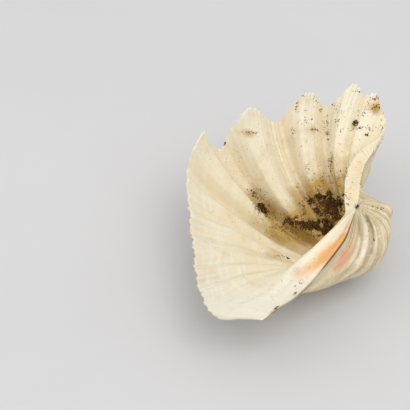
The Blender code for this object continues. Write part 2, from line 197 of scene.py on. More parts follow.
# Loose grains, in patches like the clots'. DUST is the heap and the smallest and
# largest grain that several of them share.
SPECK_SEED = 20
DUST = (0.2, 0.35, 0.9)
SPECKS = (
    (224, 144, 2, 2, 0, 16, 1.2, 0.7, 1.6), (252, 133, 10, 2, 6, 34, 0.3, 0.4, 1.0),
    (278, 140, 3, 2, 0, 10, 0.2, 0.4, 0.9), (293, 131, 3, 4, 0, 26, 0.4, 0.4, 1.1),
    (313, 130, 6, 2, 0, 26, 0.3, 0.5, 1.2), (320, 111, 2, 2, 0, 12, 0.4, 0.5, 1.2),
    (326, 117, 2, 2, 0, 8, 0.2, 0.5, 1.0), (328, 135, 2, 6, 0, 26, 0.3, 0.5, 1.2),
    (331, 162, 3, 9, 0, 56, 0.4, 0.5, 1.2), (253, 194, 9, 3, 52, 70, 0.6, 0.5, 1.4),
    (352, 129, 15, 2, -6, 44, 0.3, 0.4, 1.1), (354, 124, 2, 3, 0, 26, 0.7, 0.6, 1.4),
    (366, 135, 3, 1.4, -30, 14, 0.5, 0.7, 1.4), (377, 108, 5, 4, 20, 46, 0.5, 0.5, 1.3),
    (277, 256, 12, 2, 6, 26, 0.2, 0.4, 0.9), (288, 258, 2, 1, 0, 8, 0.4, 0.7, 1.4),
    (347, 205, 2, 2, 0, 10, 0.5, 0.6, 1.2), (374, 240, 1, 2, 0, 8, 0.6, 0.7, 1.2),
    (356, 208, 1.5, 2, 0, 12, 0.4, 0.5, 1.0), (300, 112, 12, 2, -20, 16, 0.2, 0.3, 0.8),
    (318, 180, 26, 18, 0, 150, *DUST), (340, 150, 30, 30, 0, 130, 0.1, 0.3, 0.8),
    (300, 140, 40, 25, 0, 90, 0.1, 0.3, 0.7), (262, 170, 36, 34, 40, 90, 0.1, 0.3, 0.7),
    (300, 215, 30, 18, 0, 150, 0.2, 0.3, 0.9), (275, 225, 28, 12, 35, 90, 0.2, 0.3, 0.8),
    (297, 104, 1.5, 8, 8, 40, 0.2, 0.4, 0.9), (302, 96, 4, 1, 0, 16, 0.2, 0.4, 0.8),
    (316, 99, 5, 5, 0, 22, 0.2, 0.4, 0.9), (305, 121, 12, 6, 0, 34, 0.2, 0.4, 1.0),
    (345, 110, 14, 10, 0, 70, *DUST), (378, 98, 4, 2, 30, 30, 0.2, 0.4, 0.9),
    (382, 118, 1.5, 14, 0, 36, 0.2, 0.35, 0.8), (381, 140, 1.5, 8, 10, 16, 0.2, 0.35, 0.8),
    (336, 122, 5, 4, 0, 30, 0.3, 0.4, 1.1), (325, 128, 3, 10, 0, 44, 0.3, 0.4, 1.1),
    (240, 150, 9, 12, 30, 36, 0.2, 0.3, 0.8), (263, 196, 14, 6, 50, 90, *DUST),
    (330, 182, 12, 10, 0, 90, 0.3, 0.35, 1.0), (306, 175, 16, 12, 0, 60, 0.1, 0.3, 0.8),
    (344, 178, 6, 12, 0, 50, *DUST), (370, 220, 18, 26, 0, 40, 0.1, 0.3, 0.6),
    (280, 285, 45, 25, -40, 30, 0.1, 0.3, 0.6), (345, 195, 10, 10, 0, 60, *DUST),
    (357, 207, 2, 3, 30, 50, 0.5, 0.4, 1.0), (358, 92, 6, 1.2, 0, 22, *DUST),
    (366, 108, 1.4, 10, 24, 34, *DUST), (372, 99, 7, 1.2, 10, 30, *DUST),
    (370, 128, 10, 3, 10, 26, 0.2, 0.35, 1.0), (333, 105, 6, 2, 60, 24, *DUST),
    (362, 186, 2, 14, 0, 40, 0.2, 0.35, 0.8), (375, 208, 12, 3, 20, 40, 0.2, 0.35, 0.8),
    (296, 293, 3, 1, -35, 16, *DUST), (276, 308, 3, 1, -30, 22, 0.3, 0.4, 1.0),
    (300, 283, 12, 2, -38, 20, 0.1, 0.3, 0.7), (356, 123, 3, 2, 60, 50, 0.8, 0.5, 1.3),
)
# Stains, in the same pixels: the middle x and y, how far they spread in millimetres
# and how strong they are.
STAINS = (
    (322, 206, 14, 1.0), (309, 229, 13, 1.0), (292, 226, 10, 0.9), (265, 211, 8, 0.9), (254, 195, 7, 0.5),
    (332, 163, 5, 0.5), (247, 133, 3, 0.45), (253, 134, 3, 0.4), (300, 194, 8, 0.45), (270, 226, 10, 0.5),
    (276, 256, 8, 0.4), (284, 234, 9, 0.6), (313, 130, 3, 0.5), (375, 109, 4, 1.0), (354, 126, 3, 0.5),
    (328, 132, 3, 0.4), (322, 186, 9, 0.55), (342, 190, 7, 0.5), (297, 271, 3, 0.3), (336, 178, 6, 0.4),
    (292, 275, 3, 0.25), (333, 220, 9, 0.8),
)
# Faint orange in the bowl, pink on the outer ribs, the broad white rib of the beak, and
# the orange ligament, all given as the stains are.
BLUSHES = (
    (280, 121, 3.5, 0.8), (190, 250, 7, 0.45), (203, 268, 7, 0.4), (196, 235, 8, 0.25),
    (374, 106, 5, 0.8), (344, 262, 6, 0.5), (356, 250, 5, 0.35), (346, 226, 3.5, 0.3), (339, 235, 4, 0.3),
    (331, 244, 4, 0.3), (322, 253, 4, 0.25), (350, 192, 5, 0.2), (356, 172, 5, 0.2), (366, 148, 5, 0.15),
)
PINKS = (
    (347, 254, 3.5, 0.8), (344, 259, 3.2, 0.8), (340, 264, 3.2, 0.8), (335, 269, 3, 0.7),
    (351, 246, 3, 0.6), (354, 238, 2.5, 0.45), (364, 237, 2, 0.5), (363, 246, 2, 0.5), (385, 236, 3, 0.5),
    (326, 277, 3, 0.3),
)
PALES = (
    (361, 216, 1.4, 0.8), (364, 222, 1.8, 0.9), (366, 229, 2.1, 0.9), (367, 237, 2.4, 1.0),
    (366, 245, 2.6, 1.0), (364, 253, 2.4, 0.9), (359, 260, 2.4, 0.7), (352, 266, 2.2, 0.5),
    (345, 272, 2.0, 0.35),
)
# Lines of dirt: two grooves of the beak, and the pit at its tip.
DIRT_LINES = (
    ((366, 215, 1.1, 2.0), (370, 222, 1.2, 2.0), (373, 230, 1.3, 1.8), (374, 238, 1.3, 1.5),
     (373, 246, 1.3, 1.2), (371, 254, 1.3, 1.0)),
    ((359, 216, 1.0, 1.2), (359, 222, 1.0, 1.4), (360, 230, 1.1, 1.3), (360, 238, 1.1, 1.0)),
    ((356, 206, 1.6, 1.5), (358, 209, 1.6, 1.5)),
)
LIGAMENT = (
    (351, 223, 1.4, 0.6), (349, 228, 1.8, 0.6), (347, 233, 2.2, 0.6), (344, 237, 2.6, 0.7),
    (341, 241, 3, 0.7), (337, 246, 3.2, 0.8), (332, 250, 3.6, 0.8), (327, 255, 3.8, 0.8),
    (322, 259, 3.6, 0.7), (316, 264, 3.4, 0.6), (310, 268, 3.2, 0.5), (304, 272, 3, 0.45),
    (298, 276, 3, 0.35),
)
# Pixels between the spots that make a streak, and how much of its strength each keeps.
STREAK_SPACING = 2.0
STREAK_STRENGTH = 0.25
# How much the fine rays add to the height of the shell's bumps.
RAY_HEIGHT = 0.8
IMAGE_SIDE = 410
SENSOR = 36.0
FLOOR_WIDTH = 8.0
# The two soft lights, which shine at the middle of the floor: place, width and colour.
KEY_LIGHT = ((-0.15, -0.6, 1.45), 1.1, (1.0, 0.98, 0.95))
FILL_LIGHT = ((-0.8, 0.7, 1.2), 1.4, (0.95, 0.97, 1.0))


def through(knots, q):
    """Values at q on a smooth curve through knots, whose first column is q."""
    table = np.asarray(knots, float)
    place, value = table[:, 0], table[:, 1:]
    slope = np.gradient(value, place, axis=0)
    q = np.clip(q, place[0], place[-1])
    i = np.clip(np.searchsorted(place, q, side="right") - 1, 0, len(place) - 2)
    step = (place[i + 1] - place[i])[..., None]
    w = ((q - place[i]) / step[..., 0])[..., None]
    start = (2 * w**3 - 3 * w**2 + 1) * value[i] + (w**3 - 2 * w**2 + w) * step * slope[i]
    end = (3 * w**2 - 2 * w**3) * value[i + 1] + (w**3 - w**2) * step * slope[i + 1]
    return start + end


def ease(start, end, q):
    """Smooth step from 0 at start to 1 at end."""
    w = np.clip((q - start) / (end - start), 0, 1)
    return w * w * (3 - 2 * w)


def mix(a, b, w):
    """Points a and b mixed by the weight w, one weight for each point."""
    return a * (1 - w[..., None]) + b * w[..., None]


def bump(q, middle, width):
    """A smooth hump of height 1."""
    return np.exp(-((q - middle) / width) ** 2)


def wander(u, v, across, along, seed):
    """Smooth random values from -1 to 1 over u and v, with so many cells each way."""
    lattice = np.random.default_rng(seed).uniform(-1, 1, (across + 2, along + 2))
    x, y = np.clip(u, 0, 1) * across, np.clip(v, 0, 1) * along
    i, j = x.astype(int), y.astype(int)
    fx, fy = ease(0, 1, x - i), ease(0, 1, y - j)
    low = lattice[i, j] * (1 - fx) + lattice[i + 1, j] * fx
    high = lattice[i, j + 1] * (1 - fx) + lattice[i + 1, j + 1] * fx
    return low * (1 - fy) + high * fy


def running_length(points):
    """Length along a row of points, seen from above, up to each point."""
    steps = np.linalg.norm(np.diff(points[:, :2], axis=0), axis=1)
    return np.concatenate([[0], np.cumsum(steps)])


def outline_curve(samples=3000):
    """The outline as closely spaced points, and each one's share of its length."""
    knots = np.array(OUTLINE, float)
    along = running_length(knots)
    fine = through(np.column_stack([along, knots]), np.linspace(0, along[-1], samples))
    share = running_length(fine)
    return fine, share / share[-1]


OUTLINE_POINTS, OUTLINE_SHARES = outline_curve()


def share_at(x, y):
    """Share of the outline's length at the outline point nearest to x, y."""
    gap = np.hypot(OUTLINE_POINTS[:, 0] - x, OUTLINE_POINTS[:, 1] - y)
    return OUTLINE_SHARES[np.argmin(gap)]


LUNULE_SHARE = share_at(80, 32)


def outline(share):
    """Point of the outline, seen from above, at a share of its length."""
    return np.stack([np.interp(share, OUTLINE_SHARES, OUTLINE_POINTS[:, i]) for i in range(2)], -1)


def turn(size):
    """Angle through which the shell has coiled where it was this size."""
    angles = np.linspace(COIL[0][0], COIL[-1][0], 400)
    sizes = np.minimum.accumulate(through(COIL, angles)[:, 0])
    return np.radians(np.interp(size, sizes[::-1], angles[::-1]))


def coil(share, size):
    """The smooth coiled surface, before it is folded into ribs."""
    edge = outline(share)
    cos, sin = np.cos(turn(size)), np.sin(turn(size))
    drift = REAR_DRIFT * size * (1 - size) * ease(0.1, 0.5, size)
    x = size * edge[..., 0] - drift * (edge[..., 0] - DRIFT_FROM_X)
    return np.stack([x, size * edge[..., 1] * cos, -size * edge[..., 1] * sin], -1)


def into_bowl(share, size):
    """Unit direction from the smooth coiled surface into the bowl."""
    small = 0.004
    across = coil(share + small, size) - coil(share - small, size)
    along = coil(share, size + small) - coil(share, size - small)
    inward = np.cross(across, along)
    return inward / np.maximum(np.linalg.norm(inward, axis=-1, keepdims=True), 1e-9)


def warped_share(share, size):
    """A share of the outline, wandering a little as the riblets do."""
    return share + 0.0012 * wander(share, size, 60, 3, 11)


def fine_ribs(share, size):
    """Height of the finer riblets and growth steps, in millimetres before scaling."""
    ribs = ease(0.05, 0.12, share) * ease(1, 0.94, share)
    warped = warped_share(share, size)
    strength = 0.65 + 0.35 * wander(share, size, 40, 6, 12)
    looks = bpy.context.scene.clam_valve
    height, count = looks.riblet_height / MM, looks.riblet_count
    fine = height * np.cos(2 * np.pi * count * warped) * strength
    near_lip = 0.12 + 0.88 * ease(0.7, 0.97, size)
    steps = size * looks.growth_count + 0.9 * wander(share, size, 34, 5, 13)
    uneven = 0.4 + 0.6 * np.abs(wander(share, size, 20, 9, 14))
    ledge = looks.growth_step / MM * (steps % 1) ** 3 * uneven
    return ribs * (fine * near_lip + ledge * ease(0.55, 0.9, size))


def ragged(share):
    """How far the lip's fine teeth reach past its smooth line, in millimetres."""
    looks = bpy.context.scene.clam_valve
    uneven = looks.tooth_count * share + 0.6 * wander(share, share, 30, 1, 15)
    rear = ease(0.05, 0.1, share) * ease(0.42, 0.34, share) * ((uneven % 1) ** 2 - 0.3)
    lobes = np.cos(2 * np.pi * looks.riblet_count * warped_share(share, 1 + 0 * share))
    tongues = 0.4 * ease(0.34, 0.42, share) * ease(0.97, 0.9, share) * lobes
    chips = np.maximum(wander(share, share, 110, 1, 16), 0) ** 2
    return looks.tooth_depth / MM * (rear + tongues - 0.5 * chips * ease(0.02, 0.08, share))


def beak_ribs(share, size):
    """The ribs on the beak, from -1 in the deepest groove to 1 on the broadest rib."""
    near_hinge = SWEEP_SHARE * (1 + np.log(np.maximum(share, 0.01) / SWEEP_SHARE))
    swept = np.where(share < SWEEP_SHARE, near_hinge, share) + SWEEP * size
    ribs = np.cos(2 * np.pi * (swept - BEAK_RIB_AT) / BEAK_RIB_PITCH)
    fine = BEAK_FINE_HEIGHT * np.cos(2 * np.pi * BEAK_FINE_RIBS * (swept - BEAK_RIB_AT) / BEAK_RIB_PITCH)
    strong = 0.45 + 0.45 * bump(swept, BEAK_RIB_AT + 0.02, 0.09) + 0.2 * wander(share, size, 9, 5, 21)
    return ribs * strong + fine * ease(0.35, 0.5, swept)


def on_beak(share, size):
    """1 on the beak, fading to 0 down the shell and at the hinge."""
    return ease(0.5, 0.3, size) * ease(0.01, 0.04, share)


def ribbed(share, size, fold=1.0, fine=1.0, beak=0.0):
    """The coiled surface with its ribs and tongues."""
    reach, rise = np.moveaxis(through(FOLDS, share), -1, 0)
    riblet = RIBLET_HEIGHT * np.cos(2 * np.pi * RIBLETS * share) * ease(0.03, 0.12, share)
    small = 0.01
    pace = np.linalg.norm(coil(share, 1 + 0 * size) - coil(share, 1 - small + 0 * size), axis=-1) / small
    detail = fine * fine_ribs(share, size)
    size = size + reach / pace * ease(0.6, 1, size) + ragged(share) / pace * ease(0.93, 1, size)
    lift = size * (fold * rise + riblet + detail)
    beak = beak * on_beak(share, size)
    lift = lift * (1 - beak) - BEAK_RIB_HEIGHT * beak_ribs(share, size) * ease(0, 0.15, size) * beak
    return coil(share, size) + into_bowl(share, size) * lift[..., None]


def along_hinge(size):
    """1 along most of the hinge, fading to 0 at the beak and at the rear end."""
    return ease(0, 0.15, size) * ease(1, 0.8, size)


def outside(share, size, straight=True):
    """The ribbed outer face, arched along the hinge, with a straight lunule side."""
    points = ribbed(share, size, fine=1.3, beak=1.0)
    x, y, z = points[..., 0], points[..., 1], points[..., 2]
    near_hinge = bump(np.maximum(y - 4, 0), 0, 18)
    arch = through(HINGE_EDGE, x)[..., 0] * (1 - ease(-22, -48, z))
    rear = np.sin(np.pi * np.clip(-x / HINGE_LENGTH, 0, 1) ** 1.9)
    bulge = REAR_BULGE * rear * ease(0, -16, z) * (1 - ease(-22, -45, z))
    points[..., 1] = y + (arch - bulge) * near_hinge
    beak = BEAK_BULGE * ease(-2, -16, y) * bump(x, 4, 14) * (1 - ease(-20, -40, z))
    points[..., 0] = x + beak
    points[..., 1] -= beak
    points[..., 2] -= PLATE_DEPTH * ease(0, 0.03, share) * along_hinge(size) * near_hinge
    keel = bump(share, KEEL_SHARE, KEEL_SHARE_WIDTH) * bump(size, KEEL_SIZE, KEEL_SIZE_WIDTH)
    points += keel[..., None] * KEEL
    lunule = through(LUNULE_EDGE, size)
    lunule = np.concatenate([lunule, 0 * lunule[..., :1]], -1)
    at_lunule = ease(LUNULE_SHARE, 1, share) ** 1.5
    points = mix(points, lunule, at_lunule)
    if straight and np.any(share > KEEL_SHARE):
        corner = outside(0 * share + KEEL_SHARE, size, straight=False)
        along = np.clip((share - KEEL_SHARE) / (1 - KEEL_SHARE), 0, 1)
        points = mix(points, mix(corner, lunule, along), ease(0.72, 0.45, size) * (along > 0))
    points[..., 2] -= RIM_DEPTH * at_lunule * ease(0, 0.025, 1 - share) * ease(0, 0.1, size)
    return points


def bowl(share, size):
    """The inner face of the bowl: the coiled surface moved in by the wall."""
    thick = through(WALL, share)[..., 0] * ease(1, WALL_SIZE, size) * ease(0.3, 0.6, size)
    return ribbed(share, size, 1 - 0.25 * (1 - size)) + into_bowl(share, size) * (LIP + thick)[..., None]


def flat(edge_points, height):
    """Points from above with a height added."""
    return np.concatenate([edge_points, np.broadcast_to(height, edge_points.shape[:-1])[..., None]], -1)


def denticles(size):
    """Small teeth along the outer edge of the lunule rim, as a height."""
    looks = bpy.context.scene.clam_valve
    teeth = np.abs(np.sin(np.pi * looks.denticle_count * size))
    return looks.denticle_height / MM * teeth * ease(0.2, 0.4, size)


def plate(share, size):
    """The top of the hinge plate, of the shelf under the beak and of the lunule rim."""
    outer = outside(0 * share, size)
    shrink = np.minimum(size / BEAK_SIZE, 1)
    held = np.maximum(size, BEAK_SIZE)
    inner = flat(through(PLATE_EDGE, held) * shrink[..., None], 0)
    across = np.clip(share / PLATE_SHARE, 0, 1)
    hinge = mix(outer, inner, across)
    hinge[..., 2] += through(PLATE_SECTION, across)[..., 0] * along_hinge(size)
    hinge[..., 2] += LIP * ease(0, 0.4, across) * ease(0.8, 1, size)
    furrows = np.sin(across * FURROWS_ACROSS + FURROWS_ALONG * size) * bump(across, 0.4, 0.3)
    hinge[..., 2] += FURROW_HEIGHT * furrows * along_hinge(size)
    middle = np.clip((share - PLATE_SHARE) / (1 - PLATE_SHARE - RIM_SHARE), 0, 1)
    shelf_height = SHELF_HEIGHT + (RIM_HEIGHT - SHELF_HEIGHT) * ease(0.8, 1, middle)
    shelf = flat(through(BEAK_EDGE, middle) * shrink[..., None], shelf_height * shrink)
    rim_in = flat(through(RIM_EDGE, held) * shrink[..., None], RIM_HEIGHT * shrink)
    rim_across = np.clip((1 - share) / RIM_SHARE, 0, 1)
    rim = mix(outside(0 * share + 1, size), rim_in, rim_across ** 0.6)
    rim[..., 2] += denticles(size) * bump(rim_across, 0.25, 0.4) + 0.5 * bump(rim_across, 0.55, 0.3)
    reach = WALL_SHARE * (size > BEAK_SIZE)
    top = np.where((share < PLATE_SHARE + reach)[..., None], hinge, shelf)
    return np.where((share > 1 - RIM_SHARE - reach)[..., None], rim, top)


def inside(share, size):
    """The bowl, where the hinge plate, the beak and the lunule rim leave it open."""
    past_plate = ease(PLATE_SHARE, PLATE_SHARE + WALL_SHARE, share)
    below_beak = ease(BEAK_SIZE - 0.01, BEAK_SIZE + 0.09, size)
    before_rim = 1 - ease(1 - RIM_SHARE - WALL_SHARE, 1 - RIM_SHARE, share)
    return mix(plate(share, size), bowl(share, size), past_plate * below_beak * before_rim)


def line_shares():
    """Shares of the outline where the mesh has its lines, closer over the plate and rim."""
    plate_end, rim_start = PLATE_SHARE + WALL_SHARE, 1 - RIM_SHARE - WALL_SHARE
    stretches = (
        np.linspace(0, PLATE_SHARE, PLATE_LINES, endpoint=False),
        np.linspace(PLATE_SHARE, plate_end, WALL_LINES, endpoint=False),
        np.linspace(plate_end, rim_start, RIB_LINES, endpoint=False),
        np.linspace(rim_start, 1 - RIM_SHARE, WALL_LINES, endpoint=False),
        np.linspace(1 - RIM_SHARE, 1, RIM_LINES),
    )
    return np.concatenate(stretches)


def rest_matrix():
    """The turn from the shell's own frame to the way the valve rests."""
    tip_x, tip_y = (math.radians(angle) for angle in REST_TIP)
    return Matrix.Rotation(tip_y, 4, "Y") @ Matrix.Rotation(tip_x, 4, "X")


def at_rest(points):
    """Shell points in millimetres as packed-frame points in metres, worn flat below."""
    turned = points.reshape(-1, 3) @ np.array(rest_matrix().to_3x3()).T * MM + np.array(BEAK_AT)
    turned[:, 2] = np.maximum(turned[:, 2], 0)
    return turned.reshape(points.shape)


def relief(share, size):
    """How far a spot stands above or below the ribs around it, from -1 to 1."""
    def lift(q):
        q = np.clip(q, 0, 1)
        return through(FOLDS, q)[..., 1] + RIBLET_HEIGHT * np.cos(2 * np.pi * RIBLETS * q)

    around = sum(lift(share + gap) for gap in AROUND) / len(AROUND)
    return np.clip((lift(share) - around) / FULL_RELIEF + fine_ribs(share, size), -1, 1)


def set_attribute(mesh, name, values):
    """Stores a float for each vertex, which the materials read."""
    layer = mesh.attributes.new(name, "FLOAT", "POINT")
    layer.data.foreach_set("value", np.asarray(values, np.float32).ravel())


def set_attributes(mesh, values_by_name):
    """Stores several floats for each vertex."""
    for name, values in values_by_name.items():
        set_attribute(mesh, name, values)


def get_attribute(mesh, name):
    """A float attribute's values."""
    values = np.zeros(len(mesh.vertices), np.float32)
    mesh.attributes[name].data.foreach_get("value", values)
    return values.astype(float)


def vertex_points(mesh):
    """The vertices' places."""
    points = np.zeros(len(mesh.vertices) * 3, np.float32)
    mesh.vertices.foreach_get("co", points)
    return points.reshape(-1, 3).astype(float)


def surface_of(mesh):
    """A search tree of the mesh's faces."""
    return BVHTree.FromPolygons([v.co for v in mesh.vertices], [p.vertices for p in mesh.polygons])


def grid_quads(first, lines, rows):
    """Quads over a grid of vertices that starts at the index first."""
    index = first + np.arange(lines * rows).reshape(lines, rows)
    corners = index[:-1, :-1], index[1:, :-1], index[1:, 1:], index[:-1, 1:]
    return np.stack([corner.ravel() for corner in corners], -1)


def rounded_lip(outer, inner):
    """Rows of points round the lip, from its outer edge to its inner one."""
    middle = (outer + inner)[:, :2] / 2
    outward = middle / np.linalg.norm(middle, axis=-1, keepdims=True)
    rows = []
    for across in np.linspace(0, 1, LIP_ROWS):
        row = outer * (1 - across) + inner * across
        row[:, :2] += outward * LIP_ROUND * math.sin(math.pi * across)
        rows.append(row)
    return np.stack(rows, 1)


def valve_mesh():
    """The valve's closed mesh: outer face, lip and inner face, welded where they meet."""
    shares, sizes = line_shares(), 1 - np.linspace(0, 1, ROWS) ** ROW_CROWDING
    share, size = np.meshgrid(shares, sizes, indexing="ij")
    outer, inner = outside(share, size), inside(share, size)
    lip = rounded_lip(outer[:, 0], inner[:, 0])
    lip_share = np.repeat(shares[:, None], LIP_ROWS, 1)
    sheets = ((outer, share, size, 0), (lip, lip_share, 1 + 0 * lip_share, 1), (inner, share, size, 1))
    faces, slots, first = [], [], 0
    for points, _, _, within in sheets:
        quads = grid_quads(first, *points.shape[:2])
        faces.append(quads)
        slots.append(np.full(len(quads), 1 - within))
        first += points.shape[0] * points.shape[1]
    mesh = bpy.data.meshes.new("clam_valve")
    places = at_rest(np.concatenate([points.reshape(-1, 3) for points, _, _, _ in sheets]))
    mesh.from_pydata(places.tolist(), [], np.concatenate(faces).tolist())
    mesh.polygons.foreach_set("material_index", np.concatenate(slots).astype(np.int32))
    flat_share, flat_size = (np.concatenate([sheet[i].ravel() for sheet in sheets]) for i in (1, 2))
    within = np.concatenate([np.full(sheet[1].size, float(sheet[3])) for sheet in sheets])
    height = relief(flat_share, flat_size) * np.where(within > 0, 1, -1)
    beak = (1 - within) * on_beak(flat_share, flat_size)
    height = height * (1 - beak) + beak_ribs(flat_share, flat_size) * beak
    on_rim = within * ease(1 - RIM_SHARE, 1 - RIM_SHARE / 2, flat_share)
    height = height * (1 - on_rim) + (denticles(flat_size) - 0.9) * on_rim
    ridge = 0.5 + 0.5 * height
    set_attributes(mesh, {"share": flat_share, "size": flat_size, "within": within, "ridge": ridge})
    weld = bmesh.new()
    weld.from_mesh(mesh)
    bmesh.ops.remove_doubles(weld, verts=weld.verts, dist=WELD * MM)
    bmesh.ops.recalc_face_normals(weld, faces=weld.faces)
    weld.to_mesh(mesh)
    weld.free()
    mesh.shade_smooth()
    return mesh


def camera_matrix():
    """The camera's place and turn, from what it aims at and its distance and angles."""
    stage = bpy.context.scene.clam_stage
    forward = Vector((math.sin(stage.azimuth) * math.cos(stage.elevation),
                      math.cos(stage.azimuth) * math.cos(stage.elevation), -math.sin(stage.elevation)))
    turned = forward.to_track_quat("-Z", "Y").to_matrix().to_4x4() @ Matrix.Rotation(stage.roll, 4, "Z")
    return Matrix.Translation(Vector(stage.aim) - forward * stage.distance) @ turned


def seen_at(surface, x, y):
    """Where the camera sees the surface at a pixel of the photograph, or None."""
    matrix = camera_matrix()
    side = IMAGE_SIDE / 2
    half = SENSOR / 2 / bpy.context.scene.clam_stage.lens
    ray = matrix.to_3x3() @ Vector(((x - side) / side * half, (side - y) / side * half, -1))
    return surface.ray_cast(matrix.translation, ray.normalized())[0]


def spread(surface, points, spots):
    """How strongly round spots, each a pixel, a reach and a strength, cover the points."""
    total = np.zeros(len(points))
    for x, y, reach, strength in spots:
        found = seen_at(surface, x, y)
        if found:
            away = np.linalg.norm(points - np.array(found), axis=1)
            total += strength * bump(away, 0, reach * MM)
    return np.clip(total, 0, 1)


def joined(spots):
    """Close, weak spots along the line through the given ones, which overlap to a streak."""
    table = np.array(spots, float)
    along = running_length(table)
    count = int(along[-1] / STREAK_SPACING) + 2
    line = [np.interp(np.linspace(0, along[-1], count), along, column) for column in table.T]
    line[3] *= STREAK_STRENGTH
    return np.stack(line, -1)


def mark_valve(mesh):
    """Masks for the materials, from the tables of spots and from the shell's own parts."""
    surface, points = surface_of(mesh), vertex_points(mesh)
    share, size, within = (get_attribute(mesh, name) for name in ("share", "size", "within"))
    on_plate = within * ease(0.9, 0.45, share / PLATE_SHARE)
    # Painted shadow: the crevice under the outer lip of the ligament furrow is darkened with the grime
    # colour. The groove and furrow masks darken lines along the hinge's outer edge, and the dirt lines are
    # dirt.
    crevice_shadow = 1.4 * ease(0.009, 0.0, share) * ease(0.02, 0.08, size) * ease(0.7, 0.45, size)
    groove = (1 - within) * bump(share, 0.03, 0.015) * ease(0.45, 0.7, size)
    furrow = 0.75 * bump(share, 0, 0.007) * ease(0.55, 0.72, size) * ease(1, 0.93, size)
    dark = spread(surface, points, np.concatenate([joined(line) for line in DIRT_LINES]))
    set_attributes(mesh, {
        "stain": within * spread(surface, points, STAINS),
        "blush": within * spread(surface, points, BLUSHES),
        "pink": (1 - within) * spread(surface, points, PINKS),
        "ligament": on_plate * spread(surface, points, LIGAMENT),
        "pale": (1 - within) * spread(surface, points, joined(PALES)),
        "grime_and_shade": np.clip(crevice_shadow + 0.6 * groove + furrow + dark, 0, 1),
        "depth": within * ease(1.0, 0.62, size) * ease(PLATE_SHARE, 0.12, share),
    })


class Wiring:
    """Adds nodes to a tree and links them, left to right."""

    def __init__(self, tree):
        self.tree = tree
        self.count = 0

    def put(self, kind, inputs=(), **settings):
        """A node with its settings, and with its inputs, each a value or a socket."""
        node = self.tree.nodes.new(kind)
        node.location = (220 * (self.count % 8), -300 * (self.count // 8))
        self.count += 1
        for name, value in settings.items():
            setattr(node, name, value)
        for key, value in dict(inputs).items():
            if isinstance(value, bpy.types.NodeSocket):
                self.tree.links.new(value, node.inputs[key])
            elif hasattr(value, "__len__") and len(value) == 3 and node.inputs[key].type == "RGBA":
                node.inputs[key].default_value = (*value, 1)
            else:
                node.inputs[key].default_value = value
        return node

    def blend(self, first, second, factor):
        """Two colours, each a socket or a value, mixed by factor."""
        return self.put("ShaderNodeMix", {0: factor, 6: first, 7: second}, data_type="RGBA").outputs[2]

    def paint(self, base, *layers):
        """A colour with layers laid over it in turn, each a colour and its amount."""
        for colour, amount in layers:
            base = self.blend(base, colour, amount)
        return base

    def maths(self, operation, *operands):
        """The result of one sum."""
        return self.put("ShaderNodeMath", enumerate(operands), operation=operation).outputs[0]

    def times(self, first, second):
        """One value times another."""
        return self.maths("MULTIPLY", first, second)

    def added(self, first, scale, second):
        """The first value times scale, plus the second."""
        return self.maths("MULTIPLY_ADD", first, scale, second)

    def mask(self, name):
        """A mask that the mesh carries."""
        return self.put("ShaderNodeAttribute", attribute_name=name).outputs["Fac"]

    def stretch(self, value, low, high, top=1.0):
        """A value stretched so that low becomes 0 and high becomes top."""
        inputs = {"Value": value, "From Min": low, "From Max": high, "To Max": top}
        return self.put("ShaderNodeMapRange", inputs).outputs[0]

    def noise(self, place, scale, detail, roughness=0.6):
        """A noise value at a place."""
        inputs = {"Vector": place, "Scale": scale, "Detail": detail, "Roughness": roughness}
        return self.put("ShaderNodeTexNoise", inputs).outputs["Fac"]


def new_group(name, inputs, outputs):
    """An empty shared group: its wiring, its inputs and its output sockets."""
    tree = bpy.data.node_groups.new(name, "ShaderNodeTree")
    for label, value in inputs.items():
        socket = tree.interface.new_socket(label, in_out="INPUT", socket_type="NodeSocketFloat")
        socket.default_value = value
    for label in outputs:
        tree.interface.new_socket(label, in_out="OUTPUT", socket_type="NodeSocketFloat")
    wires = Wiring(tree)
    return wires, wires.put("NodeGroupInput").outputs, wires.put("NodeGroupOutput").inputs


def mottle_group():
    """Soft blotches, a fine grain and a height made of both."""
    wires, given, made = new_group("Mottle", {"Blotch Scale": 60.0, "Grain Scale": 900.0},
                                   ("Blotches", "Grain", "Height"))
    place = wires.put("ShaderNodeTexCoord").outputs["Object"]
    blotches = wires.noise(place, given["Blotch Scale"], 5.0)
    grain = wires.noise(place, given["Grain Scale"], 3.0)
    height = wires.added(blotches, 0.4, grain)
    for name, value in (("Blotches", blotches), ("Grain", grain), ("Height", height)):
        wires.tree.links.new(value, made[name])


def growth_group():
    """Lines along the shell's growth and finer rays across them, which follow its ribs."""
    wires, given, made = new_group("Growth Lines", {"Lines": 40.0, "Rays": 170.0}, ("Growth", "Rays"))
    share, size = wires.mask("share"), wires.mask("size")
    flat = {"X": wires.times(share, 16.0), "Y": wires.times(size, given["Lines"])}
    growth = wires.noise(wires.put("ShaderNodeCombineXYZ", flat).outputs[0], 1.0, 4.0)
    flat = {"X": wires.times(share, given["Rays"]), "Y": wires.times(size, 4.0)}
    rays = wires.noise(wires.put("ShaderNodeCombineXYZ", flat).outputs[0], 1.0, 3.0)
    wires.tree.links.new(growth, made["Growth"])
    wires.tree.links.new(rays, made["Rays"])


def speck_group():
    """Small round specks, more of them where Amount is high."""
    wires, given, made = new_group("Specks", {"Scale": 600.0, "Amount": 0.3}, ("Specks",))
    place = wires.put("ShaderNodeTexCoord").outputs["Object"]
    cells = wires.put("ShaderNodeTexVoronoi", {"Vector": place, "Scale": given["Scale"]}).outputs
    chance = wires.put("ShaderNodeSeparateColor", {"Color": cells["Color"]}).outputs
    radius = wires.times(chance["Red"], 0.38)
    within = wires.maths("LESS_THAN", cells["Distance"], radius)
    chosen = wires.maths("LESS_THAN", chance["Green"], given["Amount"])
    wires.tree.links.new(wires.times(within, chosen), made["Specks"])


def use_group(wires, make, name, inputs=()):
    """The outputs of a shared group, made when it is first asked for."""
    if name not in bpy.data.node_groups:
        make()
    return wires.put("ShaderNodeGroup", inputs, node_tree=bpy.data.node_groups[name]).outputs


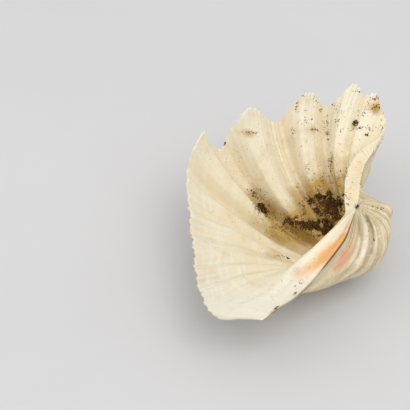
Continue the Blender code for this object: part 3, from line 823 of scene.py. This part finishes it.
def mottled(wires, blotch_scale, grain_scale):
    """The outputs of the mottle group."""
    inputs = {"Blotch Scale": blotch_scale, "Grain Scale": grain_scale}
    return use_group(wires, mottle_group, "Mottle", inputs)


def specked(wires, scale, amount):
    """Where the specks are."""
    return use_group(wires, speck_group, "Specks", {"Scale": scale, "Amount": amount})["Specks"]


def shell_height(wires, growth, mottle, growth_height):
    """The height of growth lines, fine rays and mottling together."""
    height = wires.added(growth["Growth"], growth_height, mottle["Height"])
    return wires.added(growth["Rays"], RAY_HEIGHT, height)


def start_material(name):
    """A new material, its wiring and its Principled shader."""
    material = bpy.data.materials.new(name)
    material.use_nodes = True
    wires = Wiring(material.node_tree)
    return material, wires, material.node_tree.nodes["Principled BSDF"]


def finish_material(wires, shader, base, roughness, height, depth):
    """Links the colour, the roughness and a bumpy surface to the shader."""
    bumpy = wires.put("ShaderNodeBump", {"Height": height, "Strength": 1.0, "Distance": depth})
    wires.tree.links.new(base, shader.inputs["Base Color"])
    wires.tree.links.new(roughness, shader.inputs["Roughness"])
    wires.tree.links.new(bumpy.outputs[0], shader.inputs["Normal"])


def bowl_material():
    """Cream bowl with tan channels, soil stains and specks, the orange ligament, and painted shade over the
    rear.
    """
    looks = bpy.context.scene.clam_valve
    material, wires, shader = start_material("Clam bowl")
    mottle = mottled(wires, 70.0, 1100.0)
    growth = use_group(wires, growth_group, "Growth Lines")
    rays = wires.added(growth["Rays"], 0.6, wires.mask("ridge"))
    base = wires.blend(looks.channel_colour, looks.ridge_colour, wires.stretch(rays, 0.45, 1.05))
    # Painted shade: the hinge and the rear of the bowl are darkened to a greyer cream.
    rear = wires.stretch(wires.mask("share"), 0.44, 0.16)
    rear = wires.times(rear, wires.stretch(wires.mask("size"), 0.45, 0.9))
    deep = wires.times(wires.mask("depth"), wires.stretch(mottle["Blotches"], -0.2, 0.7))
    tint = wires.times(wires.mask("blush"), wires.stretch(growth["Rays"], 0.25, 0.7))
    streaks = wires.added(growth["Rays"], 0.5, wires.mask("ligament"))
    patchy = wires.added(mottle["Blotches"], 1.1, wires.mask("stain"))
    specks = specked(wires, 1000.0, wires.added(wires.mask("stain"), 0.6, 0.015))
    # Dirt, together with painted shadow in the crevice under the ligament's lip.
    dirt_and_shade = wires.added(mottle["Grain"], 0.4, wires.mask("grime_and_shade"))
    base = wires.paint(
        base,
        (looks.rear_shade_colour, rear),
        (looks.deep_colour, wires.times(deep, 0.55)),
        (looks.chalk_colour, wires.stretch(growth["Growth"], 0.5, 0.72, 0.4)),
        (looks.ligament_colour, tint),
        (looks.ligament_colour, wires.stretch(streaks, 0.3, 0.95)),
        (looks.stain_colour, wires.stretch(patchy, 0.62, 1.3, 0.92)),
        (looks.speck_colour, wires.times(specks, 0.75)),
        (looks.grime_and_shade_colour, wires.stretch(dirt_and_shade, 0.4, 1.0)),
    )
    roughness = wires.added(mottle["Grain"], 0.25, 0.42)
    height = shell_height(wires, growth, mottle, 0.5)
    finish_material(wires, shader, base, roughness, height, 0.0004)
    shader.inputs["Coat Weight"].default_value = 0.08
    shader.inputs["Coat Roughness"].default_value = 0.3
    return material


def outside_material():
    """Chalky outside of the valve, with pink ribs, grey grooves and growth lines."""
    looks = bpy.context.scene.clam_valve
    material, wires, shader = start_material("Clam outside")
    mottle = mottled(wires, 90.0, 700.0)
    growth = use_group(wires, growth_group, "Growth Lines", {"Lines": 70.0, "Rays": 210.0})
    rays = wires.added(growth["Rays"], 0.5, wires.mask("ridge"))
    base = wires.blend(looks.groove_colour, looks.outside_colour, wires.stretch(rays, 0.4, 1.0))
    striped = wires.added(wires.mask("ridge"), 0.7, wires.mask("pink"))
    bands = wires.added(growth["Growth"], 0.4, striped)
    # Dirt, together with painted shadow in the crevice under the ligament's lip.
    dirt_and_shade = wires.added(mottle["Blotches"], 0.7, wires.mask("grime_and_shade"))
    base = wires.paint(
        base,
        (looks.chalk_colour, wires.stretch(growth["Growth"], 0.52, 0.7, 0.5)),
        (looks.groove_colour, wires.stretch(mottle["Blotches"], 0.42, 0.68, 0.6)),
        (looks.chalk_colour, wires.stretch(wires.mask("pale"), 0.2, 0.8, 0.9)),
        (looks.pink_colour, wires.stretch(bands, 0.85, 1.5, 0.9)),
        (looks.grime_and_shade_colour, wires.stretch(dirt_and_shade, 0.5, 1.3, 0.9)),
        (looks.speck_colour, wires.times(specked(wires, 700.0, 0.02), 0.7)),
    )
    roughness = wires.added(mottle["Grain"], 0.25, 0.6)
    height = shell_height(wires, growth, mottle, 1.2)
    finish_material(wires, shader, base, roughness, height, 0.0006)
    return material


def soil_material():
    """Dark crumbs of soil, each of its own shade of brown."""
    looks = bpy.context.scene.clam_soil
    material, wires, shader = start_material("Clam soil")
    mottle = mottled(wires, 500.0, 3000.0)
    shade = wires.added(mottle["Blotches"], 0.4, wires.mask("tone"))
    base = wires.blend(looks.dark_colour, looks.light_colour, wires.stretch(shade, 0.35, 1.3))
    roughness = wires.added(mottle["Grain"], 0.2, 0.72)
    finish_material(wires, shader, base, roughness, mottle["Height"], 0.0002)
    shader.inputs["Specular IOR Level"].default_value = 0.15
    return material


def plain_ball():
    """Corners and faces of a ball of twenty triangles."""
    shape = bmesh.new()
    bmesh.ops.create_icosphere(shape, subdivisions=1, radius=0.5)
    corners = np.array([vert.co[:] for vert in shape.verts])
    faces = np.array([[vert.index for vert in face.verts] for face in shape.faces])
    shape.free()
    return corners, faces


def scattered(surface, patches, rng, top=1.0):
    """Places, sizes and tones of soil grains that lie on the surface below top, in patches."""
    looks = bpy.context.scene.clam_soil
    grains = []
    for x, y, half_long, half_wide, turned, count, heap, small, large in patches:
        cos, sin = math.cos(math.radians(turned)), math.sin(math.radians(turned))
        for _ in range(count):
            out = rng.random() ** PATCH_FALL + max(rng.normal(0, PATCH_STRAY), 0)
            angle = rng.uniform(0, 2 * math.pi)
            along, aside = half_long * out * math.cos(angle), half_wide * out * math.sin(angle)
            place = x + along * cos - aside * sin, y + along * sin + aside * cos
            coarse, fine = (noise.noise(Vector((place[0] * scale, place[1] * scale, seed)))
                            for scale, seed in zip(LUMP_SCALES, LUMP_SEEDS))
            lump = coarse + FINE_LUMPS * fine
            across = (small + (large - small) * rng.random() ** 2) * looks.grain_scale
            high = heap * max(1 - out * out, 0) * rng.random() * (0.7 + lump)
            tone, keep = rng.random(), lump > KEPT_FALL * out - KEPT_MIDDLE
            found = seen_at(surface, *place)
            if keep and found and found.z < top:
                centre = np.array(found) + (0, 0, (CRUMB_LIFT * across + max(high, 0)) * MM)
                grains.append((centre, across, tone))
    return grains


def grain_piece(name, grains, rng):
    """One mesh of many crumbs, each squashed and turned its own way."""
    corners, faces = plain_ball()
    places, tones = [], []
    for centre, across, tone in grains:
        turned = np.linalg.qr(rng.normal(size=(3, 3)))[0]
        shape = corners * rng.uniform(*CRUMB_CORNERS, (len(corners), 1)) * rng.uniform(*CRUMB_WIDTHS, 3)
        places.append(shape @ turned * across * MM + centre)
        tones.append(np.full(len(corners), tone))
    first = np.arange(len(places))[:, None, None] * len(corners)
    mesh = bpy.data.meshes.new(name)
    mesh.from_pydata(np.concatenate(places).tolist(), [], (faces + first).reshape(-1, 3).tolist())
    set_attribute(mesh, "tone", np.concatenate(tones))
    mesh.materials.append(bpy.data.materials.get("Clam soil") or soil_material())
    return add_piece(name, mesh)


def add_piece(name, mesh):
    """Puts a mesh in the scene as a piece that rides on the valve."""
    piece = bpy.data.objects.new(name, mesh)
    bpy.context.scene.collection.objects.link(piece)
    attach(piece, "root")
    return piece


def valve_surface():
    """A search tree of the finished valve."""
    piece = bpy.data.objects.get("clam_valve")
    if piece is None:
        raise RuntimeError("The valve is made first.")
    return surface_of(piece.data)


def colour_property(name, description, default):
    """A colour that a user can change."""
    return bpy.props.FloatVectorProperty(name=name, description=description, default=default,
                                         subtype="COLOR", min=0, max=1)


def length_property(name, description, default):
    """A small length in metres that a user can change."""
    return bpy.props.FloatProperty(name=name, description=description, default=default,
                                   unit="LENGTH", precision=5)


class ClamValveSettings(bpy.types.PropertyGroup):
    """Fine relief and colours of the valve."""

    riblet_height: length_property(
        "Riblet height", "Height of the fine riblets on the tongues", 0.00038)
    riblet_count: bpy.props.IntProperty(
        name="Riblets", description="How many fine riblets run from the beak to the margin", default=104)
    growth_step: length_property(
        "Growth step", "Height of the steps left by the shell's growth", 0.00035)
    growth_count: bpy.props.IntProperty(
        name="Growth steps", description="How many growth steps there are", default=24)
    tooth_depth: length_property(
        "Lip tooth depth", "How far the fine teeth of the lip reach out", 0.0017)
    tooth_count: bpy.props.IntProperty(
        name="Lip teeth", description="How many fine teeth the lip has", default=74)
    denticle_height: length_property(
        "Denticle height", "Height of the small teeth beside the lunule", 0.0015)
    denticle_count: bpy.props.IntProperty(
        name="Denticles", description="How many small teeth there are beside the lunule", default=25)
    ridge_colour: colour_property("Ridges", "Cream of the ridges and the lip", (0.80, 0.73, 0.56))
    # A greyer cream painted over the hinge and the rear as shade.
    rear_shade_colour: colour_property("Rear", "Greyer cream of the hinge and the rear", (0.68, 0.635, 0.51))
    channel_colour: colour_property("Channels", "Tan of the channels between ridges", (0.79, 0.70, 0.51))
    deep_colour: colour_property("Deep bowl", "Tan of the bottom of the bowl", (0.72, 0.58, 0.32))
    chalk_colour: colour_property("Chalk", "White of chalky growth lines", (0.86, 0.81, 0.69))
    stain_colour: colour_property("Stains", "Brown of the stains around the soil", (0.45, 0.27, 0.045))
    speck_colour: colour_property("Specks", "Brown of the small specks", (0.10, 0.055, 0.02))
    ligament_colour: colour_property("Ligament", "Orange of the ligament furrow", (0.76, 0.40, 0.14))
    outside_colour: colour_property("Outside", "Cream of the outer ribs", (0.77, 0.67, 0.47))
    groove_colour: colour_property("Outer grooves", "Grey-tan of the outer grooves", (0.53, 0.41, 0.22))
    pink_colour: colour_property("Pink ribs", "Pink of the bands on the outer ribs", (0.76, 0.36, 0.24))
    # Also the colour of the painted shadow in the crevice under the ligament's outer lip.
    grime_and_shade_colour: colour_property("Grime", "Grey-brown of the dirt in the crevices", (0.12, 0.07, 0.035))


class ClamSoilSettings(bpy.types.PropertyGroup):
    """Size and colours of the soil."""

    grain_scale: bpy.props.FloatProperty(
        name="Grain scale", description="Size of the grains against the real ones", default=1.0, min=0.1)
    dark_colour: colour_property("Damp grains", "Colour of the darkest grains", (0.020, 0.010, 0.0035))
    light_colour: colour_property("Dry grains", "Colour of the palest grains", (0.24, 0.115, 0.033))


class ClamStageSettings(bpy.types.PropertyGroup):
    """The camera, the floor and the lights."""

    aim: bpy.props.FloatVectorProperty(
        name="Aim", description="The point that the camera looks at", default=(-0.03918, 0.0372, 0.04889),
        subtype="TRANSLATION", unit="LENGTH")
    distance: bpy.props.FloatProperty(
        name="Distance", description="From the camera to that point", default=0.72319, unit="LENGTH")
    azimuth: bpy.props.FloatProperty(
        name="Azimuth", description="The way the camera looks, from +Y towards +X",
        default=math.radians(55.04), subtype="ANGLE")
    elevation: bpy.props.FloatProperty(
        name="Elevation", description="How steeply the camera looks down",
        default=math.radians(44.77), subtype="ANGLE")
    roll: bpy.props.FloatProperty(
        name="Roll", description="How far the camera leans", default=math.radians(3.5), subtype="ANGLE")
    lens: bpy.props.FloatProperty(
        name="Lens", description="Focal length in millimetres", default=100.0, unit="CAMERA")
    floor_colour: colour_property("Floor", "Colour of the floor", (0.579, 0.574, 0.579))
    key_power: bpy.props.FloatProperty(
        name="Key light", description="Power of the large soft light", default=7.6, unit="POWER")
    fill_power: bpy.props.FloatProperty(
        name="Fill light", description="Power of the light opposite", default=4.0, unit="POWER")
    sky_strength: bpy.props.FloatProperty(
        name="Sky", description="Strength of the even light from all round", default=0.93)


class ClamMakeValve(bpy.types.Operator):
    """Makes the ribbed valve with its hinge, beak and lunule"""

    bl_idname = "clam.make_valve"
    bl_label = "Make the valve"

    def execute(self, context):
        mesh = valve_mesh()
        mark_valve(mesh)
        mesh.materials.append(bowl_material())
        mesh.materials.append(outside_material())
        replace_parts(add_piece("clam_valve", mesh), "valve")
        return {"FINISHED"}


class ClamMakeSoil(bpy.types.Operator):
    """Heaps the clots of soil in the bowl"""

    bl_idname = "clam.make_soil"
    bl_label = "Heap the soil"

    def execute(self, context):
        surface = valve_surface()
        for seed, (node, patches) in enumerate(CLOTS.items()):
            rng = np.random.default_rng(seed)
            grains = scattered(surface, patches, rng, CLOT_TOP)
            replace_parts(grain_piece(node + "_grains", grains, rng), node)
        return {"FINISHED"}


class ClamScatterSpecks(bpy.types.Operator):
    """Scatters loose grains of soil over the valve"""

    bl_idname = "clam.scatter_specks"
    bl_label = "Scatter loose grains"

    def execute(self, context):
        rng = np.random.default_rng(SPECK_SEED)
        grain_piece("loose_grains", scattered(valve_surface(), SPECKS, rng), rng)
        return {"FINISHED"}


def add_light(name, power, place, width, colour):
    """A large square light that shines at the middle of the floor."""
    light = bpy.data.lights.new(name, "AREA")
    light.size, light.energy, light.color = width, power, colour
    lamp = bpy.data.objects.new(name, light)
    lamp.location = place
    lamp.rotation_euler = (-Vector(place)).to_track_quat("-Z", "Y").to_euler()
    bpy.context.scene.collection.objects.link(lamp)


def floor_material():
    """Pale paper, a little uneven."""
    stage = bpy.context.scene.clam_stage
    material, wires, shader = start_material("Paper floor")
    mottle = mottled(wires, 3.0, 400.0)
    darker = tuple(0.95 * value for value in stage.floor_colour)
    base = wires.blend(stage.floor_colour, darker, wires.stretch(mottle["Blotches"], 0.3, 0.7))
    roughness = wires.added(mottle["Grain"], 0.1, 0.8)
    finish_material(wires, shader, base, roughness, mottle["Grain"], 0.00005)
    return material


class ClamSetStage(bpy.types.Operator):
    """Sets the floor, the soft lights and the camera"""

    bl_idname = "clam.set_stage"
    bl_label = "Set the stage"

    def execute(self, context):
        scene, stage = context.scene, context.scene.clam_stage
        mesh = bpy.data.meshes.new("floor")
        half = FLOOR_WIDTH / 2
        corners = [(-half, -half, 0), (half, -half, 0), (half, half, 0), (-half, half, 0)]
        mesh.from_pydata(corners, [], [(0, 1, 2, 3)])
        mesh.materials.append(floor_material())
        floor = bpy.data.objects.new("floor", mesh)
        scene.collection.objects.link(floor)
        add_light("key", stage.key_power, *KEY_LIGHT)
        add_light("fill", stage.fill_power, *FILL_LIGHT)
        world = bpy.data.worlds.new("pale room")
        world.use_nodes = True
        sky = world.node_tree.nodes["Background"].inputs
        sky["Color"].default_value = (1, 1, 1, 1)
        sky["Strength"].default_value = stage.sky_strength
        scene.world = world
        camera = bpy.data.objects.new("camera", bpy.data.cameras.new("camera"))
        camera.data.lens, camera.data.sensor_width = stage.lens, SENSOR
        camera.matrix_world = camera_matrix()
        scene.collection.objects.link(camera)
        scene.camera = camera
        scene.view_settings.view_transform = "Standard"
        return {"FINISHED"}


class ClamPanel(bpy.types.Panel):
    """Lists the steps that build the shell, with their settings"""

    bl_idname = "VIEW3D_PT_clam"
    bl_label = "Giant clam valve"
    bl_space_type = "VIEW_3D"
    bl_region_type = "UI"
    bl_category = "Clam"

    def draw(self, context):
        for operator in OPERATORS:
            self.layout.operator(operator.bl_idname)
        for name in SETTINGS:
            settings = getattr(context.scene, name)
            box = self.layout.box()
            for key in settings.bl_rna.properties.keys():
                if key not in ("rna_type", "name"):
                    box.prop(settings, key)


SETTINGS = {"clam_valve": ClamValveSettings, "clam_soil": ClamSoilSettings, "clam_stage": ClamStageSettings}
OPERATORS = (ClamMakeValve, ClamMakeSoil, ClamScatterSpecks, ClamSetStage)


def register():
    for cls in (*SETTINGS.values(), *OPERATORS, ClamPanel):
        bpy.utils.register_class(cls)
    for name, group in SETTINGS.items():
        setattr(bpy.types.Scene, name, bpy.props.PointerProperty(type=group))


def unregister():
    for name in SETTINGS:
        delattr(bpy.types.Scene, name)
    for cls in (ClamPanel, *OPERATORS[::-1], *reversed(SETTINGS.values())):
        bpy.utils.unregister_class(cls)


def main():
    register()
    bpy.ops.clam.make_valve()
    bpy.ops.clam.make_soil()
    bpy.ops.clam.scatter_specks()
    bpy.ops.clam.set_stage()


if __name__ == "__main__":
    main()
